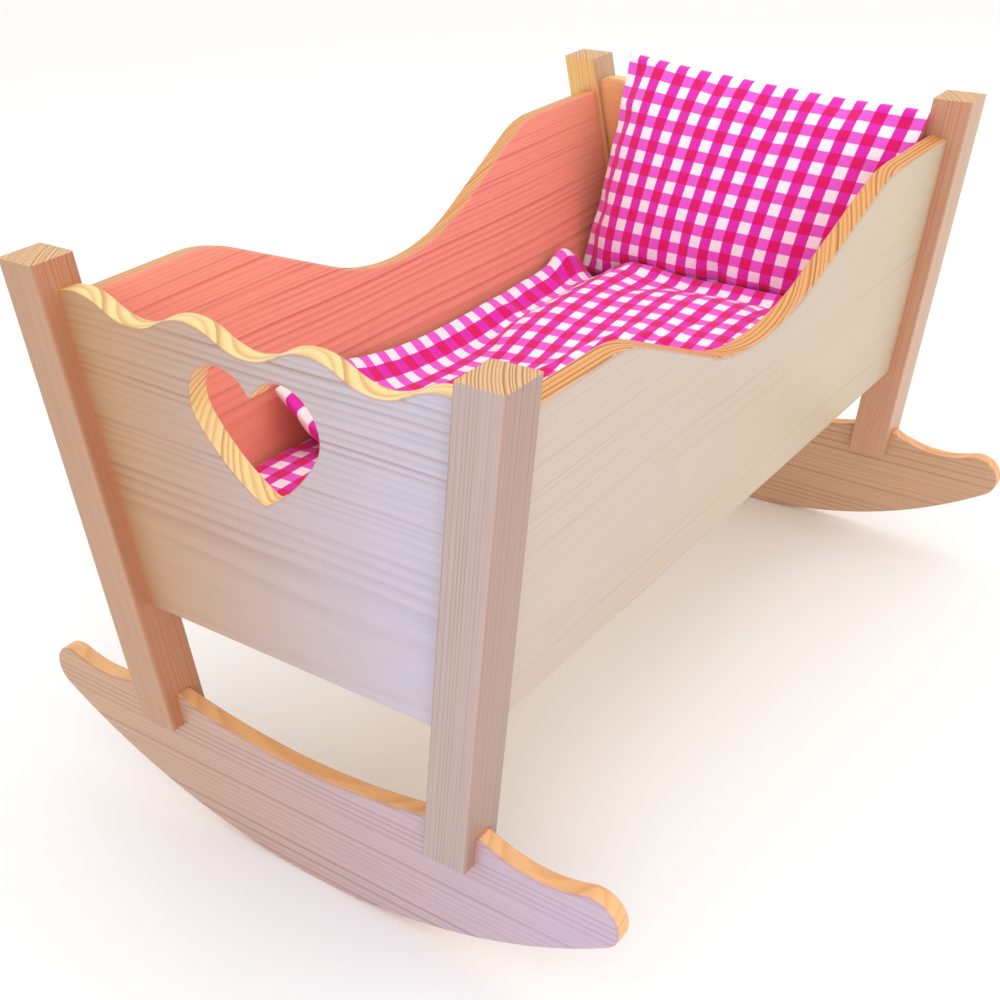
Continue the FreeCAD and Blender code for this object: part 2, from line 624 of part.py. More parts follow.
def make_screws(label, places):
    """A group of identical countersunk screws in one node."""
    screws = []
    for place in places:
        head = doc.addObject("Part::Cone", "ScrewHead")
        head.setExpression("Radius1", "Sizes.screw_head")
        head.setExpression("Radius2", "Sizes.screw_shank")
        head.setExpression("Height", "Sizes.screw_head_depth")
        head.Placement = place
        shank = doc.addObject("Part::Cylinder", "ScrewShank")
        shank.setExpression("Radius", "Sizes.screw_shank")
        shank.setExpression("Height", "Sizes.screw_length")
        shank.Placement = place
        screw = doc.addObject("Part::Fuse", "Screw")
        screw.Base = head
        screw.Tool = shank
        screws.append(screw)
    group = doc.addObject("Part::Compound", "Group_" + label)
    group.Label = label
    group.Links = screws
    return group


# Bedding: plain closed solids of the right size in the right place.
def soft_block(label, role, offset, corners, thickness, corner_round, edge_round):
    """A padded block: a rectangle with rounded corners and softly rounded faces."""
    body = new_body(label)
    outline = new_sketch(body, "Outline", role, offset)
    polygon(outline, corners)
    block = pad(body, outline, thickness)

    def corner(edge, _):
        lengths = (edge.BoundBox.XLength, edge.BoundBox.YLength, edge.BoundBox.ZLength)
        return abs(max(lengths) - size(thickness)) < 0.1

    block = round_edges(body, block, corner_round, corner, "CornerFillet")

    def rim(edge, middle):
        return not corner(edge, middle)

    round_edges(body, block, edge_round, rim)
    return body


def rectangle(left, right, front, back):
    return [(left, front), (right, front), (right, back), (left, back)]


def make_mattress():
    half = "Sizes.mattress_width / 2"
    long = "Sizes.mattress_length / 2"
    return soft_block("mattress", "XY_Plane", f"{MATTRESS_UNDER} + Sizes.mattress_thickness / 2",
                      rectangle(f"-{half}", half, f"-{long}", long), "Sizes.mattress_thickness",
                      "Sizes.mattress_thickness / 2", "Sizes.mattress_thickness / 4")


def make_duvet():
    half = "Sizes.duvet_width / 2"
    return soft_block("duvet", "XY_Plane", f"{DUVET_UNDER} + Sizes.duvet_thickness / 2",
                      rectangle(f"-{half}", half, "Sizes.duvet_foot", "Sizes.duvet_head"),
                      "Sizes.duvet_thickness", "Sizes.duvet_thickness / 2", "Sizes.duvet_thickness / 3")


def make_pillow():
    half, tall, skew = "Sizes.pillow_width / 2", "Sizes.pillow_height / 2", "Sizes.pillow_skew"
    outline = [(f"-{half} - {skew}", f"-{tall}"), (f"{half} - {skew}", f"-{tall}"),
               (f"{half} + {skew}", tall), (f"{skew} - {half}", tall)]
    body = soft_block("pillow", "XZ_Plane", None, outline, "Sizes.pillow_thickness",
                      "Sizes.pillow_thickness / 2", "Sizes.pillow_thickness * 0.4")
    tilt = FreeCAD.Rotation(FreeCAD.Vector(0, 1, 0), size("Sizes.pillow_tilt"))
    lean = FreeCAD.Rotation(FreeCAD.Vector(1, 0, 0), -size("Sizes.pillow_lean"))
    body.Placement.Rotation = lean.multiply(tilt)
    body.setExpression("Placement.Base.x", "Sizes.pillow_side")
    body.setExpression("Placement.Base.y", "Sizes.pillow_depth")
    body.setExpression("Placement.Base.z", "Sizes.pillow_middle")
    return body


nodes = []
for end_name, end in ENDS:
    for side_name, side in SIDES:
        nodes.append(make_post(end_name, end, side_name, side))
    nodes.append(make_rocker(end_name, end))
    board = make_end_board(end_name, end, with_heart=end_name == "foot")
    drill_screw_holes(board, end_screw_places(end))
    nodes.append(board)
    nodes.append(make_end_cleat(end_name, end))
    nodes.append(make_dowels(f"{end_name}_board_dowels", end_dowel_places(end)))
for side_name, side in SIDES:
    board = make_side_board(side_name, side)
    inverse = lean_place(side).inverse()
    drill_screw_holes(board, [inverse.multiply(place) for place in side_screw_places(side)])
    nodes.append(board)
    nodes.append(make_side_cleat(side_name, side))
    nodes.append(make_dowels(f"side_board_dowels_{side_name}", side_dowel_places(side)))
nodes.append(make_floor())
nodes.append(make_screws("side_cleat_screws", side_screw_places(1) + side_screw_places(-1)))
nodes.append(make_screws("end_cleat_screws", end_screw_places(1) + end_screw_places(-1)))
nodes.append(make_mattress())
nodes.append(make_duvet())
nodes.append(make_pillow())
doc.recompute()

for item in doc.Objects:
    assert "Invalid" not in item.State and "Error" not in item.State, f"{item.Name}: {item.State}"
os.makedirs("parts", exist_ok=True)
for node in nodes:
    assert not node.Shape.isNull() and node.Shape.isValid(), f"{node.Label} has a bad shape"
    node.Shape.exportStep(f"parts/{node.Label}.step")
    print(f"{node.Label:28s} solids {len(node.Shape.Solids):2d}  volume {node.Shape.Volume:10.0f}")
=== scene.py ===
import bpy
import math
import numpy as np
from mathutils import Matrix, Vector, noise
from mathutils.bvhtree import BVHTree


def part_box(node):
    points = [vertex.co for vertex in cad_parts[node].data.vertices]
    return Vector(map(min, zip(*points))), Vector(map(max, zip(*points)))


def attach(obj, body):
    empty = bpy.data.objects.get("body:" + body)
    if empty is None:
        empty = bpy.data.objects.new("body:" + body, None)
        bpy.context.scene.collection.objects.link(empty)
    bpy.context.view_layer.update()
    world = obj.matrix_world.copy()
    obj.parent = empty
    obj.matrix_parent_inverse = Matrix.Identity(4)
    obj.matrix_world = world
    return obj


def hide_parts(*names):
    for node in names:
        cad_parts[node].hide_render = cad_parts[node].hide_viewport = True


# A doll's rocking cradle in lacquered pine with gingham bedding.
# The wooden pieces are the frame's own nodes with procedural pine, cut so that the growth rings run
# through the whole solid. The mattress, duvet and pillow are sewn forms inflated by cloth simulation.
# Metres, +Z up, +Y from foot to head, +X to the right of someone at the foot.

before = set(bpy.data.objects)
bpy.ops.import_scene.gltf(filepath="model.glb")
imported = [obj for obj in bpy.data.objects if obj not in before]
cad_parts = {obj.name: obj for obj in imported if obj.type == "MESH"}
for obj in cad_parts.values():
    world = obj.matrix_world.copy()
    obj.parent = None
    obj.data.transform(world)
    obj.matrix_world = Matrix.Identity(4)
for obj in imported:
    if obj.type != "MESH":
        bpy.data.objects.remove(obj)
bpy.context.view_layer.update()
MM = 0.001

SPLAY = 0.155  # sideways run of a post for each metre of rise
SIDES = {"right": 1, "left": -1}
ENDS = {"foot": -1, "head": 1}
UP, ALONG, ACROSS = Vector((0, 0, 1)), Vector((0, 1, 0)), Vector((1, 0, 0))


def srgb(red, green, blue):
    """A display colour, 0 to 255, as the linear colour that a shader takes."""
    def linear(value):
        value /= 255
        return value / 12.92 if value <= 0.04045 else ((value + 0.055) / 1.055) ** 2.4
    return (linear(red), linear(green), linear(blue), 1.0)


# ---------------------------------------------------------------- camera and light
CAMERA_AZIMUTH, CAMERA_ELEVATION, CAMERA_ROLL = 35.708, 27.567, -2.212  # degrees
CAMERA_TARGET = Vector((8.0, -32.1, 190.0)) * MM
CAMERA_DISTANCE = 1.0
CAMERA_FOCUS = 1.4321  # focal length as a share of the picture's width
CAMERA_SHIFT = -0.05
SENSOR_WIDTH = 36.0  # millimetres
LIGHT_AIM = Vector((0, 0, 0.2))  # the middle of the cradle
LIGHTS = {  # place, side length, power in watts and colour
    "window_light": ((0.75, -0.95, 0.55), 0.5, 3.2, (0.62, 0.76, 1.0)),
    "room_light": ((-1.3, 0.3, 1.5), 1.2, 2.5, (1.0, 0.86, 0.72)),
    "top_light": ((0.6, 0.4, 2.0), 1.6, 9, (1.0, 0.97, 0.94)),
}
DAYLIGHT, DAYLIGHT_STRENGTH = (1.0, 0.99, 0.98, 1), 1.0
FLOOR_WHITE, FLOOR_RADIUS = srgb(250, 250, 250), 9


def make_camera():
    """Looks at the cradle from round to the right of its foot end and above it."""
    azimuth, elevation = math.radians(CAMERA_AZIMUTH), math.radians(CAMERA_ELEVATION)
    back = Vector((math.sin(azimuth) * math.cos(elevation), -math.cos(azimuth) * math.cos(elevation),
                   math.sin(elevation)))
    right = UP.cross(back).normalized()
    turn = Matrix((right, back.cross(right), back)).transposed().to_4x4()
    data = bpy.data.cameras.new("camera")
    data.sensor_width = SENSOR_WIDTH
    data.lens = CAMERA_FOCUS * SENSOR_WIDTH
    data.shift_x = data.shift_y = CAMERA_SHIFT
    camera = bpy.data.objects.new("camera", data)
    place = Matrix.Translation(CAMERA_TARGET + back * CAMERA_DISTANCE)
    camera.matrix_world = place @ turn @ Matrix.Rotation(math.radians(CAMERA_ROLL), 4, "Z")
    bpy.context.scene.collection.objects.link(camera)
    bpy.context.scene.camera = camera


def make_light(name, place, size, power, colour):
    """A square soft box aimed at the middle of the cradle."""
    data = bpy.data.lights.new(name, "AREA")
    data.shape = "SQUARE"
    data.size = size
    data.energy = power
    data.color = colour
    lamp = bpy.data.objects.new(name, data)
    lamp.location = place
    lamp.rotation_euler = (LIGHT_AIM - Vector(place)).to_track_quat("-Z", "Y").to_euler()
    bpy.context.scene.collection.objects.link(lamp)


def make_studio():
    """Even daylight, three soft boxes and a pale floor."""
    world = bpy.data.worlds.new("studio")
    world.use_nodes = True
    background = world.node_tree.nodes["Background"]
    background.inputs["Color"].default_value = DAYLIGHT
    background.inputs["Strength"].default_value = DAYLIGHT_STRENGTH
    bpy.context.scene.world = world
    bpy.context.scene.view_settings.view_transform = "Standard"
    for name, (place, size, power, colour) in LIGHTS.items():
        make_light(name, place, size, power, colour)
    shade = Shade("floor_paper")
    shade.base(FLOOR_WHITE, roughness=0.9)
    bpy.ops.mesh.primitive_circle_add(vertices=96, radius=FLOOR_RADIUS, fill_type="NGON")
    floor = bpy.context.object
    floor.name = "floor"
    floor.data.materials.append(shade.material)


# ---------------------------------------------------------------- shader writing
class Shade:
    """One material with a Principled surface, and short names for the nodes that feed it."""

    def __init__(self, name):
        self.material = bpy.data.materials.new(name)
        self.material.use_nodes = True
        self.tree = self.material.node_tree
        self.tree.nodes.clear()
        self.surface = self.add("ShaderNodeBsdfPrincipled")
        output = self.add("ShaderNodeOutputMaterial")
        self.tree.links.new(self.surface.outputs[0], output.inputs["Surface"])

    def add(self, kind, **settings):
        """A new node, with its settings."""
        node = self.tree.nodes.new(kind)
        for key, value in settings.items():
            setattr(node, key, value)
        return node

    def feed(self, socket, value):
        """Links a node's output to a socket, or sets the socket to a plain value."""
        if isinstance(value, bpy.types.NodeSocket):
            self.tree.links.new(value, socket)
        else:
            socket.default_value = value

    def base(self, colour, roughness, fixed=None):
        """Sets the surface's colour and roughness, which may be linked, and its fixed values."""
        self.feed(self.surface.inputs["Base Color"], colour)
        self.feed(self.surface.inputs["Roughness"], roughness)
        for name, value in (fixed or {}).items():
            self.surface.inputs[name].default_value = value

    def math(self, operation, *values):
        node = self.add("ShaderNodeMath", operation=operation)
        for socket, value in zip(node.inputs, values):
            self.feed(socket, value)
        return node.outputs[0]

    def dot(self, vector, axis):
        """How far a vector reaches along an axis."""
        node = self.add("ShaderNodeVectorMath", operation="DOT_PRODUCT")
        self.feed(node.inputs[0], vector)
        node.inputs[1].default_value = axis
        return node.outputs["Value"]

    def join(self, x, y, z):
        node = self.add("ShaderNodeCombineXYZ")
        for socket, value in zip(node.inputs, (x, y, z)):
            self.feed(socket, value)
        return node.outputs[0]

    def noise(self, vector, scale=1.0, detail=2.0, roughness=0.5):
        node = self.add("ShaderNodeTexNoise")
        self.feed(node.inputs["Vector"], vector)
        node.inputs["Scale"].default_value = scale
        node.inputs["Detail"].default_value = detail
        node.inputs["Roughness"].default_value = roughness
        return node.outputs["Fac"]

    def step(self, value, low, high, start=0.0, end=1.0):
        """Turns smoothly from start to end as value goes from low to high."""
        node = self.add("ShaderNodeMapRange", interpolation_type="SMOOTHSTEP")
        for socket, number in zip(node.inputs, (value, low, high, start, end)):
            self.feed(socket, number)
        return node.outputs[0]

    def mix(self, share, first, second, blend="MIX"):
        """Colours mixed; sockets 0, 6 and 7 of the node are its share and its two colours."""
        node = self.add("ShaderNodeMix", data_type="RGBA", blend_type=blend)
        self.feed(node.inputs[0], share)
        self.feed(node.inputs[6], first)
        self.feed(node.inputs[7], second)
        return node.outputs[2]

    def bump(self, height, depth, strength):
        """Raises the surface by up to depth where height goes from 0 to 1."""
        node = self.add("ShaderNodeBump")
        node.inputs["Strength"].default_value = strength
        node.inputs["Distance"].default_value = depth
        self.feed(node.inputs["Height"], height)
        self.tree.links.new(node.outputs[0], self.surface.inputs["Normal"])


# ---------------------------------------------------------------- wood
def lean(side):
    """The direction of a post's length on one side."""
    return Vector((side * SPLAY, 0, 1)).normalized()


PLAIN = srgb(255, 255, 255)
EARLY_WOOD, LATE_WOOD = srgb(206, 185, 164), srgb(160, 118, 94)
# Painted light: the next two pairs colour the boards' inside faces as if lit by red light bounced off
# the bedding.
SALMON_BOUNCED_LIGHT = (srgb(247, 163, 135), srgb(192, 98, 74))
HONEY_BOUNCED_LIGHT = (srgb(244, 186, 124), srgb(206, 132, 78))
CREAM_CUT = (srgb(240, 208, 142), srgb(196, 146, 84))
AMBER_CUT = (srgb(226, 162, 92), srgb(150, 84, 40))
TAN_CUT = (srgb(222, 178, 126), srgb(146, 92, 54))
BUFF_CUT = (srgb(238, 182, 124), srgb(222, 158, 102))
COOL_CLOUD, WARM_CLOUD = srgb(250, 243, 255), srgb(255, 249, 232)
# Edges darkened partly as wear and partly as painted shade of their rounding, and painted shade for
# inside corners.
WORN_AND_SHADED_EDGE, PAINTED_CORNER_SHADE = srgb(186, 130, 92), srgb(205, 128, 78)
CORNER_SHADE_REACH = 9 * MM  # how far from an inside corner the painted shade reaches
SLOW_STRAY, QUICK_STRAY = 4, 0.35  # a ring's long and short waves, as multiples of wander
UNEVEN_YEARS = 2.2  # how far a ring may be out of its place, in years
LACQUER = {"Coat Weight": 0.12, "Coat Roughness": 0.28, "Specular IOR Level": 0.42}


def pine(node, along, face, pith, ring, wander, contrast, cut="edges", cut_tones=TAN_CUT,
         inward=None, bounced_light=SALMON_BOUNCED_LIGHT, early=EARLY_WOOD, late=LATE_WOOD, tints_and_light=(PLAIN, PLAIN),
         painted_face_light=None):
    """Gives a node lacquered pine with its growth rings through the solid.

    along is the grain's direction and face the broad face's normal. pith is the tree's middle, in
    millimetres from the node's middle along face and across it. ring is a year's growth and wander
    how far the rings stray, in millimetres. cut says which surfaces were sawn across the grain, the
    narrow edges or only the ends, and cut_tones their colours. inward is the normal of a face on
    which painted light is laid, the red light bounced off the bedding beside it, in the two colours
    that follow it. early and late are the colours of the wood between and in its lines, and the
    tints after them colour it from one end of its grain to the other, partly as the wood's own tone
    and partly as painted light falling unevenly along it. The last argument is the normal of one
    more face and a tint that paints the light or shade on that face.
    """
    along, face = Vector(along).normalized(), Vector(face).normalized()
    across = along.cross(face)
    low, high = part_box(node)
    origin = (low + high) / 2
    reach = sum(abs(part * size) for part, size in zip(along, high - low)) / 2
    shade = Shade(node + "_wood")
    place = shade.add("ShaderNodeTexCoord").outputs["Object"]
    normal = shade.add("ShaderNodeNewGeometry").outputs["Normal"]
    length = shade.math("SUBTRACT", shade.dot(place, along), origin.dot(along))
    depth = shade.math("SUBTRACT", shade.dot(place, face), origin.dot(face) + pith[0] * MM)
    width = shade.math("SUBTRACT", shade.dot(place, across), origin.dot(across) + pith[1] * MM)

    def stretched(lengthwise, sideways):
        """Coordinates for a noise drawn out along the grain, with features per metre."""
        return shade.join(shade.math("MULTIPLY", length, lengthwise),
                          shade.math("MULTIPLY", depth, sideways),
                          shade.math("MULTIPLY", width, sideways))

    def stray(pattern, size):
        """A noise from 0 to 1 made into an offset of up to half of size, in millimetres."""
        return shade.math("MULTIPLY", shade.math("SUBTRACT", pattern, 0.5), size * MM)

    # The rings, straying from round and from even widths.
    radius = shade.math("SQRT", shade.math("ADD", shade.math("MULTIPLY", depth, depth),
                                           shade.math("MULTIPLY", width, width)))
    slow = stray(shade.noise(stretched(3, 9), detail=1), wander * SLOW_STRAY)
    quick = stray(shade.noise(stretched(14, 60), detail=2), wander * QUICK_STRAY)
    radius = shade.math("ADD", shade.math("ADD", radius, slow), quick)
    years = shade.math("DIVIDE", radius, ring * MM)
    uneven = shade.noise(shade.join(shade.math("MULTIPLY", years, 0.31), 0.0, 0.0), detail=1)
    years = shade.math("ADD", years, shade.math("MULTIPLY", uneven, UNEVEN_YEARS))

    # The dark lines: each year darkens slowly and ends abruptly. Years differ in strength, and the
    # lines fade in and out along the grain and are faint where the rings lie flat to the face.
    season = shade.math("FRACT", years)
    autumn = shade.math("MULTIPLY", shade.step(season, 0.25, 0.86), shade.step(season, 0.88, 1.0, 1, 0))
    year = shade.add("ShaderNodeTexWhiteNoise", noise_dimensions="1D")
    shade.feed(year.inputs["W"], shade.math("FLOOR", years))
    strong = shade.step(year.outputs["Value"], 0.1, 0.95, 0.25, 1.0)
    fade = shade.step(shade.noise(stretched(5, 16), detail=1), 0.3, 0.65, 0.35, 1.0)
    steepness = shade.math("DIVIDE", shade.math("ABSOLUTE", width), radius)
    steep = shade.step(steepness, 0, 0.4, 0.3, 1)
    line = shade.math("MULTIPLY", shade.math("MULTIPLY", autumn, strong),
                      shade.math("MULTIPLY", fade, steep))

    fibre = shade.noise(stretched(22, 900), detail=3, roughness=0.6)
    fleck = shade.step(shade.noise(stretched(45, 1500), detail=1), 0.66, 0.76)
    cloudy = shade.noise(stretched(4, 14), detail=2)

    colour = shade.mix(shade.math("MULTIPLY", line, contrast), early, late)
    cloud = shade.mix(cloudy, COOL_CLOUD, WARM_CLOUD)
    colour = shade.mix(0.55, colour, cloud, "MULTIPLY")
    # A tint from one end of the grain to the other, partly the wood's own tone and partly painted light
    # falling unevenly along the piece.
    tone = shade.mix(shade.step(length, -reach, reach), *tints_and_light)
    colour = shade.mix(1.0, colour, tone, "MULTIPLY")

    # Painted light and shade: one face of a post is made lighter or darker by a tint, as the light
    # falls on it.
    if painted_face_light:
        facing = shade.step(shade.dot(normal, Vector(painted_face_light[0])), 0.55, 0.9)
        colour = shade.mix(facing, colour, shade.mix(1.0, colour, painted_face_light[1], "MULTIPLY"))

    # The faces sawn across the grain, painted light bounced off the bedding onto the inside faces, and
    # the edges between faces, darkened partly as wear and partly as painted shade.
    square_on = shade.math("ABSOLUTE", shade.dot(normal, face))
    end_on = shade.math("ABSOLUTE", shade.dot(normal, along))
    edge_on = shade.math("ABSOLUTE", shade.dot(normal, across))
    sawn = shade.step(end_on, 0.35, 0.8) if cut == "ends" else shade.step(square_on, 0.7, 0.3)
    sawn_line = shade.math("MULTIPLY", autumn, shade.step(year.outputs["Value"], 0, 1, 0.45, 0.95))
    sawn_colour = shade.mix(sawn_line, *cut_tones)
    # Painted light: the inside faces take colours that stand in for red light bounced off the bedding.
    if inward:
        facing = shade.step(shade.dot(normal, Vector(inward).normalized()), 0.25, 0.6)
        painted_bounce = shade.mix(shade.math("MULTIPLY", line, 0.75), *bounced_light)
        colour = shade.mix(facing, colour, painted_bounce)
    colour = shade.mix(sawn, colour, sawn_colour)

    # The rounded edges between faces are darkened, partly as wear and partly as painted shade.
    flat = shade.math("MAXIMUM", shade.math("MAXIMUM", square_on, end_on), edge_on)
    worn_and_shaded = shade.math("MULTIPLY", shade.step(flat, 0.985, 0.90), shade.math("SUBTRACT", 1.0, sawn))
    colour = shade.mix(shade.math("MULTIPLY", worn_and_shaded, 0.35), colour, WORN_AND_SHADED_EDGE)
    grain = shade.step(fibre, 0.2, 0.8, 0.93, 1.04)
    colour = shade.mix(1.0, colour, shade.join(grain, grain, grain), "MULTIPLY")
    colour = shade.mix(shade.math("MULTIPLY", fleck, 0.10), colour, late)

    # Painted shade: an occlusion probe darkens the wood in inside corners, where shade falls.
    corner_shade_probe = shade.add("ShaderNodeAmbientOcclusion", samples=6)
    corner_shade_probe.inputs["Distance"].default_value = CORNER_SHADE_REACH
    corner_shade = shade.step(corner_shade_probe.outputs["AO"], 0.45, 0.95, 0.45, 0.0)
    colour = shade.mix(corner_shade, colour, PAINTED_CORNER_SHADE)

    lacquered = shade.step(fibre, 0.2, 0.8, 0.36, 0.50)
    rough = shade.math("ADD", lacquered, shade.math("MULTIPLY", sawn, 0.10))
    shade.base(colour, rough, LACQUER)
    relief = shade.math("ADD", shade.math("MULTIPLY", line, 0.5), shade.math("MULTIPLY", fibre, 0.5))
    shade.bump(relief, 0.10 * MM, 0.7)
    finish_node(node, shade.material)


PLY = 1.2 * MM
BIRCH, BIRCH_FIGURE = srgb(236, 212, 172), srgb(206, 170, 122)
PLY_LIGHT, PLY_DARK = srgb(222, 190, 140), srgb(158, 112, 70)
ZINC_DULL, ZINC_BRIGHT = srgb(196, 196, 190), srgb(228, 226, 216)


def plywood(name):
    """Birch plywood: pale faces with a faint flat grain, and plies showing at the edges."""
    shade = Shade(name)
    place = shade.add("ShaderNodeTexCoord").outputs["Object"]
    normal = shade.add("ShaderNodeNewGeometry").outputs["Normal"]
    x, y, z = (shade.dot(place, axis) for axis in (ACROSS, ALONG, UP))
    drawn_out = shade.join(shade.math("MULTIPLY", x, 24), shade.math("MULTIPLY", y, 2.2), 0.0)
    waves = shade.math("SINE", shade.math("MULTIPLY", shade.noise(drawn_out, detail=2), 60))
    fibre = shade.noise(shade.join(shade.math("MULTIPLY", x, 1100), shade.math("MULTIPLY", y, 30), z))
    face = shade.mix(shade.step(waves, -0.6, 1.0, 0.0, 0.45), BIRCH, BIRCH_FIGURE)
    ply = shade.math("FRACT", shade.math("MULTIPLY", z, 1 / PLY))
    edge = shade.mix(shade.step(ply, 0.42, 0.58), PLY_LIGHT, PLY_DARK)
    facing = shade.step(shade.math("ABSOLUTE", shade.dot(normal, UP)), 0.4, 0.7)
    colour = shade.mix(facing, edge, face)
    tone = shade.step(fibre, 0.25, 0.75, 0.92, 1.03)
    shade.base(shade.mix(1.0, colour, shade.join(tone, tone, tone), "MULTIPLY"),
               shade.step(fibre, 0.2, 0.8, 0.5, 0.7))
    shade.bump(fibre, 0.08 * MM, 0.6)
    return shade.material


def zinc(name):
    """Bright zinc plating, a little blotchy."""
    shade = Shade(name)
    place = shade.add("ShaderNodeTexCoord").outputs["Object"]
    blotch = shade.noise(place, scale=900, detail=3)
    shade.base(shade.mix(blotch, ZINC_DULL, ZINC_BRIGHT),
               shade.step(blotch, 0.3, 0.7, 0.25, 0.45), {"Metallic": 1.0})
    shade.bump(blotch, 0.02 * MM, 0.4)
    return shade.material


def finish_node(name, material):
    """Puts a material on a CAD node in place of its plain one."""
    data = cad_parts[name].data
    data.materials.clear()
    data.materials.append(material)


# Tints multiply the wood's colour, and a channel above 255 brightens it.
# They are partly the wood's own tone and partly painted light and shade, such as the bluish cast on the
# right of the foot end.
RIGHTWARD, FOOTWARD = (1, 0, 0), (0, -1, 0)
POST_TINTS_AND_LIGHT = {  # each post's tint, partly tone and partly painted light, then the normal of one of its faces and the further tint that paints that face's light or shade
    "post_foot_right": (srgb(230, 226, 242), RIGHTWARD, srgb(240, 226, 216)),
    "post_foot_left": (srgb(236, 208, 186), RIGHTWARD, srgb(255, 224, 210)),
    "post_head_right": (srgb(255, 236, 220), FOOTWARD, srgb(255, 232, 228)),
    "post_head_left": (srgb(250, 232, 204), FOOTWARD, srgb(300, 296, 240)),
}
ROCKER_TINTS_AND_LIGHT = {  # tints at the left and right ends, partly tone and partly painted light; the foot's bluish right end is painted light
    "foot": (srgb(246, 224, 206), srgb(242, 240, 296)),
    "head": (srgb(246, 224, 206), srgb(254, 228, 206)),
}
BOARD_TINTS_AND_LIGHT = {  # tints at the left and right ends, partly tone and partly painted light; the foot's bluish right end is painted light
    "foot": (srgb(234, 206, 170), srgb(242, 260, 312)),
    "head": (srgb(244, 232, 214), srgb(246, 228, 206)),
}
# Painted light bounced off the bedding onto the inside face of each end board.
BOARD_BOUNCED_LIGHT = {"foot": SALMON_BOUNCED_LIGHT, "head": HONEY_BOUNCED_LIGHT}
SIDE_BOARD_TINTS_AND_LIGHT = (srgb(250, 254, 262), srgb(254, 260, 252))  # at the foot and head ends, partly tone and partly painted light
BEECH = srgb(222, 182, 140)
CLEAT = {"pith": (-40, 30), "ring": 3.0, "wander": 1.0, "contrast": 0.5}
DOWEL = {"pith": (60, 60), "ring": 1.4, "wander": 0.3, "contrast": 0.4, "cut": "ends",
         "early": BEECH}


def finish_wood():
    """Gives every wooden node and the screws their materials."""
    for end_name, end in ENDS.items():
        outward = Vector((0, end, 0))
        for side_name, side in SIDES.items():
            post = f"post_{end_name}_{side_name}"
            tint, *painted_face_light = POST_TINTS_AND_LIGHT[post]
            pine(post, lean(side), outward, pith=(-88, 121), ring=1.9, wander=0.4, contrast=0.5,
                 cut="ends", tints_and_light=(tint, tint), painted_face_light=painted_face_light)
        pine(f"rocker_{end_name}", ACROSS, outward, pith=(-30, 95), ring=4.2, wander=1.6,
             contrast=0.62, cut_tones=BUFF_CUT, tints_and_light=ROCKER_TINTS_AND_LIGHT[end_name])
        pine(f"{end_name}_board", ACROSS, outward, pith=(-100, 75), ring=4.0, wander=2.4,
             contrast=0.68, cut_tones=CREAM_CUT, inward=-outward, bounced_light=BOARD_BOUNCED_LIGHT[end_name],
             tints_and_light=BOARD_TINTS_AND_LIGHT[end_name])
        pine(f"cleat_{end_name}", ACROSS, outward, **CLEAT)
        pine(f"{end_name}_board_dowels", ACROSS, UP, **DOWEL)
    for side_name, side in SIDES.items():
        outward = Vector((1, 0, -side * SPLAY)) * side
        pine(f"side_board_{side_name}", ALONG, outward, pith=(-105, 35 * side), ring=2.4,
             wander=1.8, contrast=0.22, cut_tones=AMBER_CUT, inward=-outward,
             tints_and_light=SIDE_BOARD_TINTS_AND_LIGHT)
        pine(f"cleat_{side_name}", ALONG, outward, **CLEAT)
        pine(f"side_board_dowels_{side_name}", ALONG, UP, **DOWEL)
    finish_node("bottom_board", plywood("birch_plywood"))
    for name in ("side_cleat_screws", "end_cleat_screws"):
        finish_node(name, zinc(name + "_zinc"))


# ---------------------------------------------------------------- gingham
REPEAT = 19.2 * MM  # one white and one coloured stripe
WHITE_HEM = -0.2 * REPEAT  # shifts the cross stripes so that a white row runs along the pillow's top
SOFT_EDGE = (0.235, 0.265)  # where a stripe's edge lies, as shares of a repeat from its middle
THREAD = 0.42 * MM
COTTON_WHITE, COTTON_DEEP = srgb(255, 251, 255), srgb(224, 8, 108)
WARP_PINK, WEFT_PINK = srgb(228, 40, 184), srgb(238, 94, 218)


